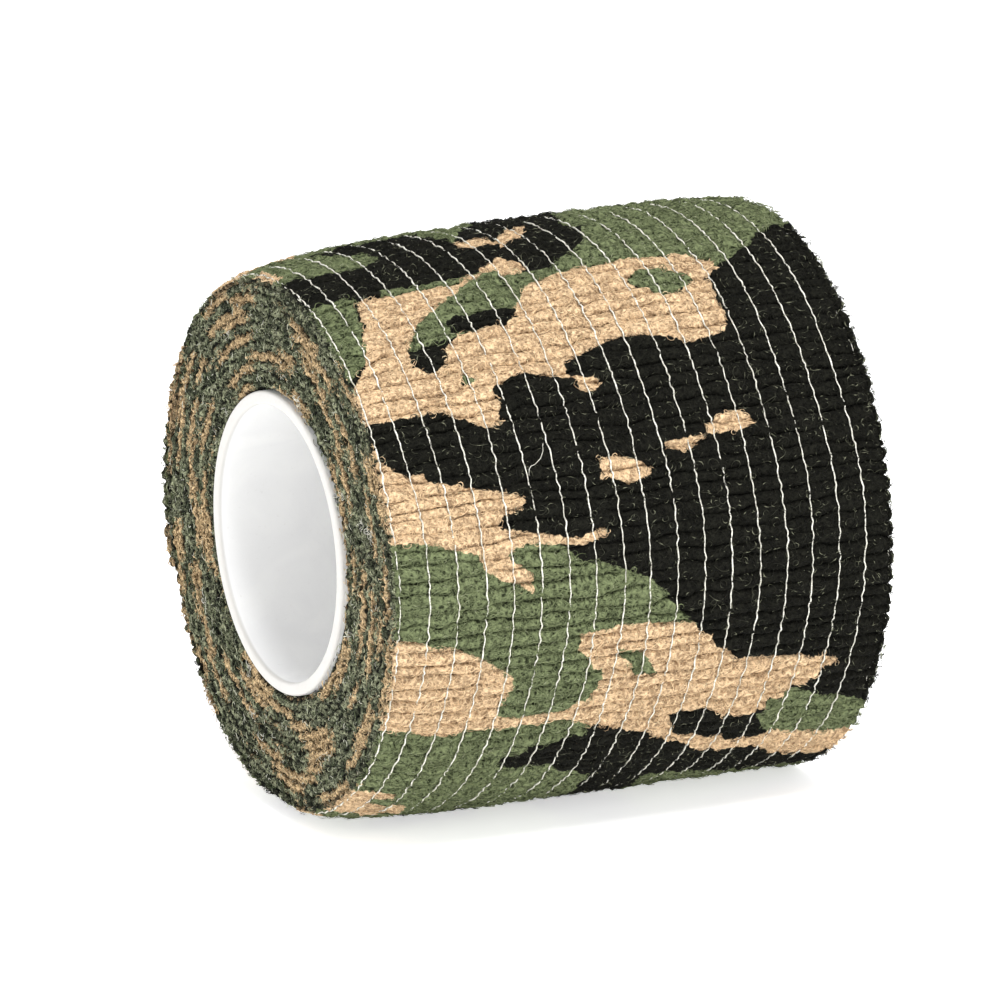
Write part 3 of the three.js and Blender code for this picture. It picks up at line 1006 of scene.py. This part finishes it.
def make_edge_material():
    """The cut edges: a dark tangle with green, tan and pale fibre ends, and painted shade in the
    crevices between the turns and next to the core.
    """
    nodes = Nodes("cut_nonwoven")
    strip = nodes.vector("strip")
    grain = nodes.noise(strip, 4.2, 4.0, 0.6)
    speck = nodes.noise(strip, 2.3, 4.0, 1.0)
    loops = nodes.loops(strip, 2.6, 1.2)
    fibre = nodes.plus(nodes.ramp(grain, 0.42, 0.64, 0.0, 0.7), nodes.times(loops, 0.38))
    wobble = nodes.times(nodes.math("SUBTRACT", speck, 0.5), 5.0)
    inset = nodes.math("SUBTRACT", nodes.value("print_tan"), 0.5)
    tan = nodes.ramp(nodes.plus(inset, wobble), -0.15, 0.35)
    green = nodes.ramp(nodes.noise(strip, 0.8, 5.0, 0.5), 0.40, 0.60)
    color = nodes.mix(fibre, linear(7, 8, 6), linear(86, 92, 72))
    color = nodes.mix(green, color, nodes.mix(fibre, linear(13, 17, 10), linear(176, 180, 146)))
    color = nodes.mix(tan, color, nodes.mix(fibre, linear(84, 65, 40), linear(236, 206, 160)))
    pale = nodes.ramp(nodes.noise(strip, 3.1, 2.0, 2.0), 0.66, 0.72)
    color = nodes.mix(pale, color, linear(190, 190, 170))
    # Painted shade: near-black in the crevices between the turns and next to the core, where the dome
    # share is low.
    crevice_painted_shade = nodes.ramp(nodes.value("dome"), 0.15, 0.85, 0.06, 1.0)
    color = nodes.mix(crevice_painted_shade, linear(6, 7, 5), color)
    nodes.bump(nodes.plus(nodes.times(grain, 0.35), nodes.times(loops, 0.1)))
    roughness = nodes.ramp(speck, 0.3, 0.7, 0.86, 0.98)
    return nodes.finish(color, roughness, Specular_IOR_Level=0.12)


def finish_fibre(nodes, tint, strip, color):
    """The faint relief and the matt surface that every single fibre has."""
    nodes.bump(nodes.times(nodes.noise(strip, 9.0), 0.01))
    return nodes.finish(color, nodes.ramp(tint, 0.0, 1.0, 0.75, 0.92), Specular_IOR_Level=0.1)


def make_fibre_material():
    """Single fibres in the print's colours. A high tint mixes in a pale colour; the glint's short
    stretch along a fibre is a painted highlight.
    """
    nodes = Nodes("loose_fibre")
    tint = nodes.value("tint")
    strip = nodes.vector("strip")
    # The tint carries the fibre's random tone and its glint, a painted highlight that lightens the
    # tone and mixes in pale.
    color = printed(nodes, strip, nodes.ramp(tint, 0.0, 1.0, 0.35, 1.35), 0.5)
    color = nodes.mix(nodes.ramp(tint, 0.55, 1.25, 0.0, 0.50), color, linear(176, 178, 150))
    return finish_fibre(nodes, tint, strip, color)


def make_edge_fibre_material():
    """The cut fibre ends: black, green and pale ones side by side, tan where the print is tan."""
    nodes = Nodes("cut_fibre")
    tint = nodes.value("tint")
    strip = nodes.vector("strip")
    color = nodes.mix(nodes.ramp(tint, 0.40, 0.50), linear(6, 7, 5), linear(92, 102, 74))
    color = nodes.mix(nodes.ramp(tint, 0.66, 0.82), color, linear(176, 180, 152))
    inset = nodes.math("SUBTRACT", nodes.value("print_tan"), 0.4)
    color = nodes.mix(nodes.ramp(inset, -0.4, 0.4), color, nodes.mix(tint, *CUT_TAN_TONES))
    color = nodes.mix(nodes.ramp(tint, 0.91, 0.96), color, linear(206, 206, 190))
    return finish_fibre(nodes, tint, strip, color)


def make_yarn_material():
    """White elastic yarn: fine slanting filaments, with painted shade where it sinks into a crease."""
    nodes = Nodes("elastic_yarn")
    strip = nodes.vector("strip")
    filaments = nodes.noise(strip, 11.0, 2.0, 0.5)
    patches = nodes.noise(strip, 1.1, 3.0)
    color = nodes.mix(nodes.ramp(filaments, 0.3, 0.7), linear(186, 184, 170), linear(240, 238, 228))
    color = nodes.mix(nodes.ramp(patches, 0.42, 0.75, 0.0, 0.5), color, linear(165, 160, 142))
    # Painted shade: the yarn is mixed towards dark grey where its dip share is low, at the creases.
    crease_painted_shade = nodes.ramp(nodes.value("dip"), 0.0, 0.75, 0.70, 0.0)
    color = nodes.mix(crease_painted_shade, color, linear(84, 82, 72))
    nodes.bump(nodes.times(filaments, 0.03))
    return nodes.finish(color, nodes.ramp(filaments, 0.3, 0.7, 0.5, 0.75))


def make_core_material():
    """White moulded plastic: satin, with faint flow marks, a little scuffing, and painted shade that
    makes the lip faces at both ends a darker grey.
    """
    nodes = Nodes("white_plastic")
    strip = nodes.vector("strip")
    flow = nodes.noise(strip, 0.16, 4.0, 0.8)
    scuffs = nodes.noise(strip, 3.0, 5.0, 0.2)
    color = nodes.mix(nodes.ramp(flow, 0.3, 0.7), linear(228, 228, 228), linear(234, 234, 233))
    color = nodes.mix(nodes.ramp(scuffs, 0.62, 0.8, 0.0, 0.35), color, linear(211, 210, 206))
    # Painted shade: the last half millimetre at each end, the lip faces, is mixed towards a darker
    # grey.
    reach = nodes.math("ABSOLUTE", nodes.value("end_reach"))
    end_painted_shade = nodes.ramp(reach, CORE_END - 0.5, CORE_END - 0.1)
    color = nodes.mix(end_painted_shade, color, linear(190, 188, 184))
    nodes.bump(nodes.times(scuffs, 0.012), 0.5)
    return nodes.finish(color, nodes.ramp(scuffs, 0.35, 0.7, 0.33, 0.5))


web_material = make_web_material()
edge_material = make_edge_material()
fibre_material = make_fibre_material()
edge_fibre_material = make_edge_fibre_material()
yarn_material = make_yarn_material()
core_material = make_core_material()

# -------- the camera and the studio
LENS = 504.8
SENSOR = 36
DISTANCE = 1300
AZIMUTH = 64.36
ELEVATION = 16.03
AIM_RIGHT = -2.15
AIM_UP = 1.0


def make_camera():
    """A long lens at the photograph's viewing angle."""
    azimuth, elevation = math.radians(AZIMUTH), math.radians(ELEVATION)
    level = math.cos(elevation)
    back = Vector((math.sin(azimuth) * level, -math.cos(azimuth) * level, math.sin(elevation)))
    right = Vector((math.cos(azimuth), math.sin(azimuth), 0))
    up = back.cross(right)
    aim = Vector((0, 0, AXIS_Z)) + right * AIM_RIGHT + up * AIM_UP
    data = bpy.data.cameras.new("camera")
    data.lens = LENS
    data.sensor_width = SENSOR
    camera = bpy.data.objects.new("camera", data)
    camera.location = (aim + back * DISTANCE) * MM
    camera.rotation_euler = back.to_track_quat("Z", "Y").to_euler()
    bpy.context.scene.collection.objects.link(camera)
    bpy.context.scene.camera = camera


def add_lamp(name, place_mm, size_mm, power):
    """A soft square lamp that faces the roll."""
    data = bpy.data.lights.new(name, "AREA")
    data.size = size_mm * MM
    data.energy = power
    lamp = bpy.data.objects.new(name, data)
    lamp.location = Vector(place_mm) * MM
    away = lamp.location - Vector((0, 0, AXIS_Z * MM))
    lamp.rotation_euler = away.to_track_quat("Z", "Y").to_euler()
    bpy.context.scene.collection.objects.link(lamp)


# A low pale wall round the floor, in metres, near enough for every camera to see it.
BACKDROP_RADIUS = 3.0
BACKDROP_HEIGHT = 0.5
SKY_STRENGTH = 0.75
FLOOR_GLOW = 0.54


def make_studio():
    """White surroundings, three lamps, and a pale floor that ends in a low pale wall."""
    scene = bpy.context.scene
    scene.view_settings.view_transform = "Standard"
    scene.world = bpy.data.worlds.new("studio")
    scene.world.use_nodes = True
    background = scene.world.node_tree.nodes["Background"]
    background.inputs["Color"].default_value = (1, 1, 1, 1)
    background.inputs["Strength"].default_value = SKY_STRENGTH
    add_lamp("key", (330, 20, 700), 300, 5.2)
    add_lamp("fill", (620, 120, 260), 500, 1.4)
    add_lamp("front", (60, -650, 160), 420, 1.25)
    bpy.ops.mesh.primitive_plane_add(size=2 * BACKDROP_RADIUS)
    floor = bpy.context.object
    floor.name = "floor"
    nodes = Nodes("pale_floor")
    mottle = nodes.noise(nodes.new("ShaderNodeTexCoord").outputs["Object"], 3.0, 3.0)
    color = nodes.mix(nodes.ramp(mottle, 0.3, 0.7), linear(251, 251, 251), linear(254, 254, 254))
    nodes.shader.inputs["Emission Color"].default_value = (1, 1, 1, 1)
    floor.data.materials.append(nodes.finish(color, 0.9, Emission_Strength=FLOOR_GLOW))
    bpy.ops.mesh.primitive_cylinder_add(
        vertices=96, radius=BACKDROP_RADIUS, depth=BACKDROP_HEIGHT, end_fill_type="NOTHING",
        location=(0, 0, BACKDROP_HEIGHT / 2))
    backdrop = bpy.context.object
    backdrop.name = "backdrop"
    backdrop.data.materials.append(nodes.material)


make_camera()
make_studio()

THREAD_NODES = [f"elastic_thread_{number:02d}" for number in range(1, THREAD_COUNT + 1)]
END_NODES = [f"free_end_thread_{number:02d}" for number in range(1, THREAD_COUNT + 1)]
# The free end is the last stretch. The first ribs lie under its root, and need no threads.
FREE = len(SECTOR_STARTS) - 2
COVERED_RIBS = 3


def bend_with_free_end(obj):
    """Bakes a free-end piece's placement into its mesh. Nothing here bends it or turns it with the
    free end.
    """
    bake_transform(obj)


core = make_core()
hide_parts("core_tube")
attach(core, "roll")

for sector in range(FREE + 1):
    first, last = SECTOR_STARTS[sector], SECTOR_STARTS[sector + 1]
    free = sector == FREE
    piece = make_sector("strip_free_end" if free else f"strip_{sector + 1}", first, last, free)
    if free:
        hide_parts("free_end_web")
        bend_with_free_end(piece)
    else:
        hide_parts("wound_web")
        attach(piece, "roll")

for name, side in (("near_edges", -1), ("far_edges", 1)):
    piece = make_edges(name, side)
    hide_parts("wound_web")
    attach(piece, "roll")

for index in range(THREAD_COUNT):
    covered = SECTOR_STARTS[0] + COVERED_RIBS
    yarn = make_yarn(f"yarn_{index + 1:02d}", index, covered, SECTOR_STARTS[FREE])
    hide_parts(THREAD_NODES[index])
    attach(yarn, "roll")
    yarn_end = make_yarn(f"yarn_end_{index + 1:02d}", index, *SECTOR_STARTS[FREE:FREE + 2])
    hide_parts(END_NODES[index])
    bend_with_free_end(yarn_end)

FIBRES_PER_DEGREE = 80
EDGE_FIBRES = 7600
for sector in range(1, FREE + 1):
    first_angle, last_angle = SECTOR_ANGLES[sector], SECTOR_ANGLES[sector + 1]
    count = int(FIBRES_PER_DEGREE * (last_angle - first_angle))
    if sector == FREE:
        fibres = make_face_fuzz("fibres_free_end", count, first_angle, last_angle - 1)
        bend_with_free_end(fibres)
    else:
        fibres = make_face_fuzz(f"fibres_{sector + 1}", count, first_angle, last_angle)
        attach(fibres, "roll")
for name, side in (("near_edge_fibres", -1), ("far_edge_fibres", 1)):
    fibres = make_edge_fuzz(name, side, EDGE_FIBRES)
    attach(fibres, "roll")

for white in (make_stray("stray_filament"), make_clumps("cut_thread_ends")):
    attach(white, "roll")
